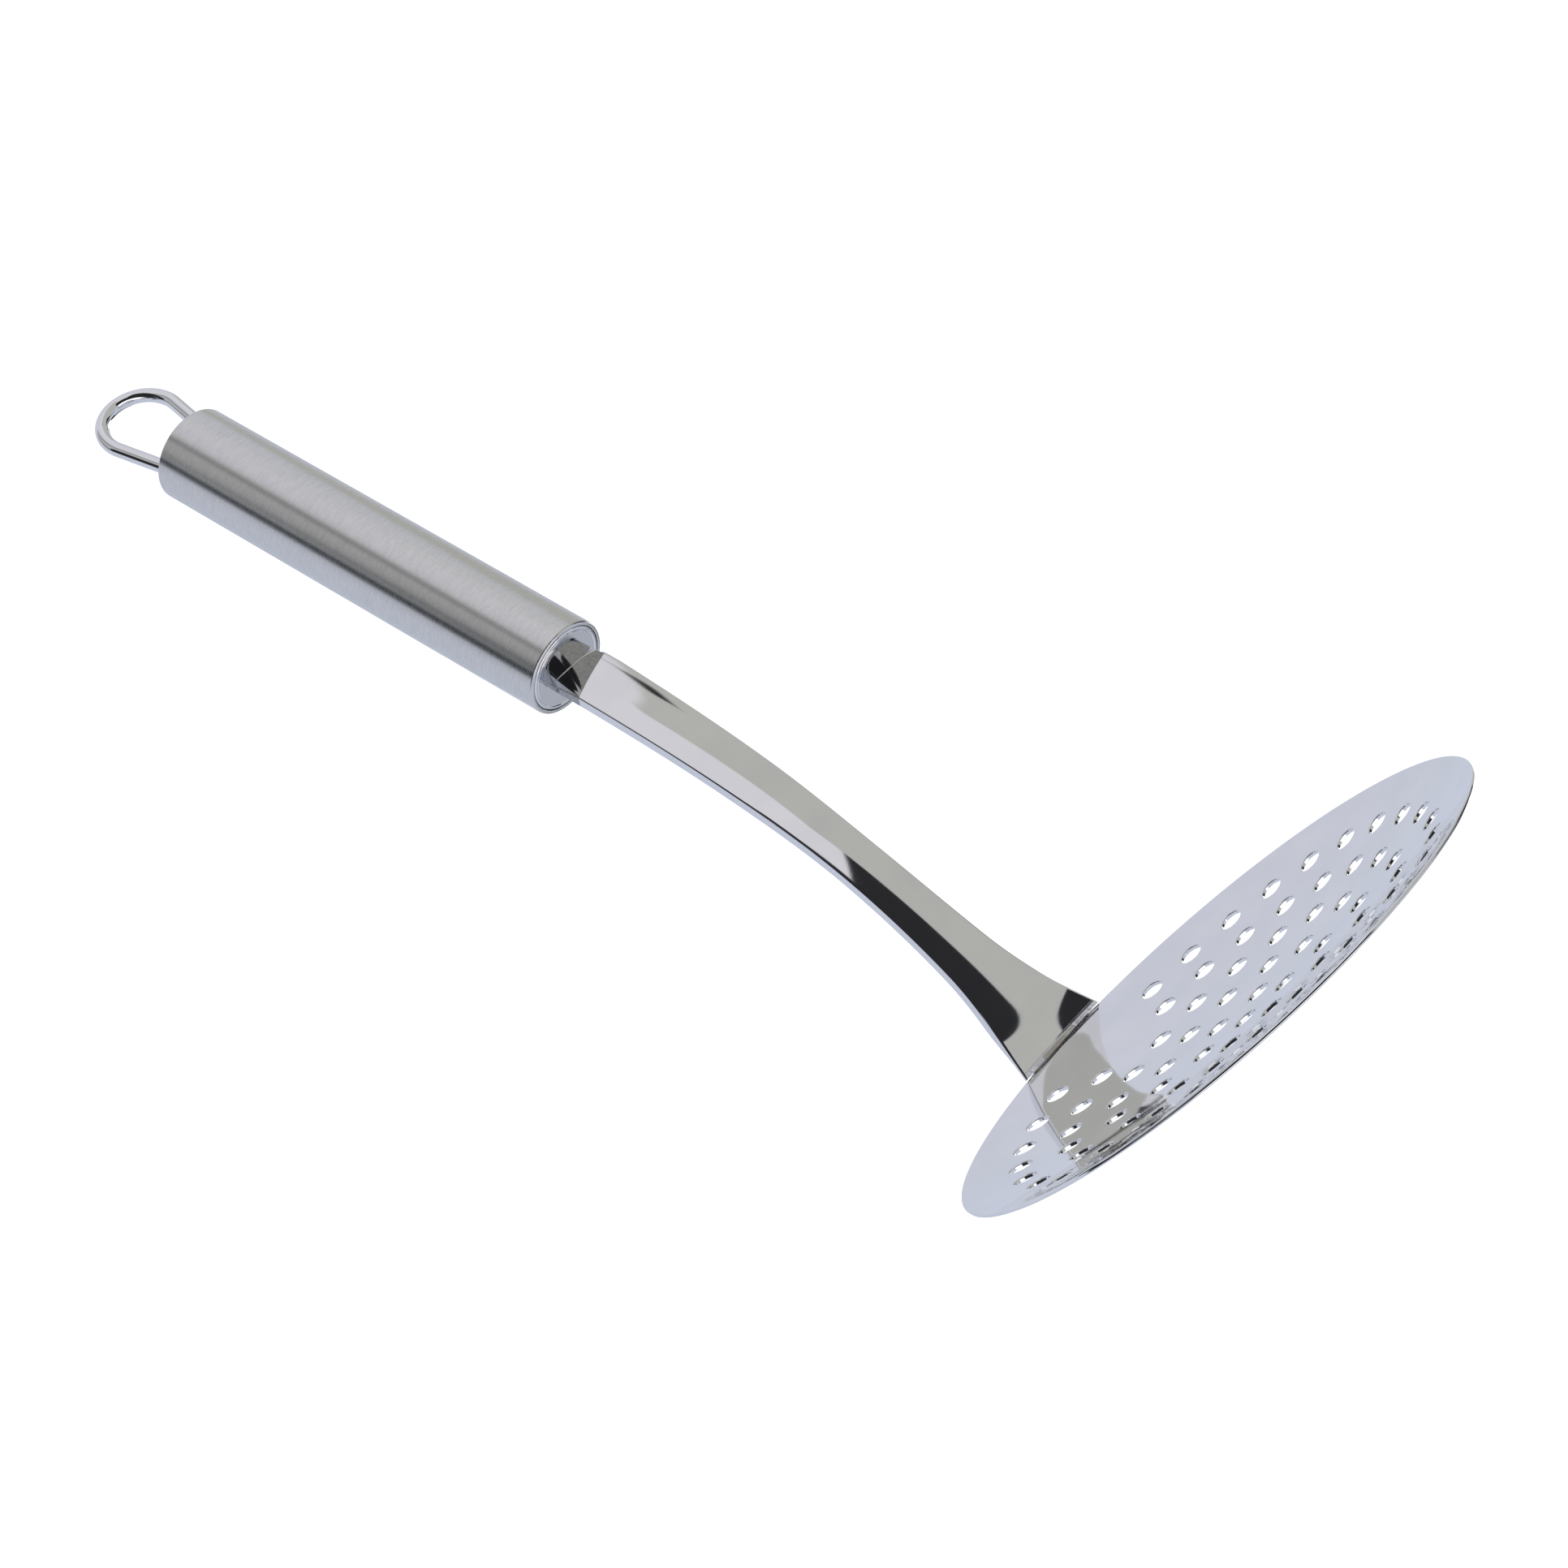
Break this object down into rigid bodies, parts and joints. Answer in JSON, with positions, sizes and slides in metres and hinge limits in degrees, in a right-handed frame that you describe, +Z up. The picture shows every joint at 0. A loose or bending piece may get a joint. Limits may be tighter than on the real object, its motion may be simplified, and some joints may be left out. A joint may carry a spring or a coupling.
{
  "type": "perforated dish masher",
  "caption": "All-steel hand masher: shallow round dish punched with rings of holes, curved tapered shank welded to its rim, tubular satin handle with polished caps and a wire hanging loop.",
  "frame": {"origin": "middle of the tool's bounding box in X and Y, at the lowest point of the dish, which lies level with its open side up", "axes": "+X from the handle towards the far edge of the dish, +Y across the tool, +Z up, square to the dish's rim plane; the tool is the same on both sides of Y = 0"},
  "size_m": [0.2182, 0.1044, 0.2004],
  "materials": {
    "polished_steel": "mirror-polished stainless steel sheet and strip",
    "satin_steel": "satin stainless steel tube, fine brushing round the tube",
    "polished_wire": "bright drawn stainless steel wire",
    "weld_bead": "weld metal, brushed over, slightly straw coloured"
  },
  "bodies": {
    "root": {"dish": "polished_steel", "shank": "polished_steel", "foot_weld": "weld_bead", "neck_weld": "weld_bead", "front_cap": "polished_steel", "handle_tube": "satin_steel", "rear_cap": "polished_steel", "hanging_loop": "polished_wire"}
  },
  "joints": []
}
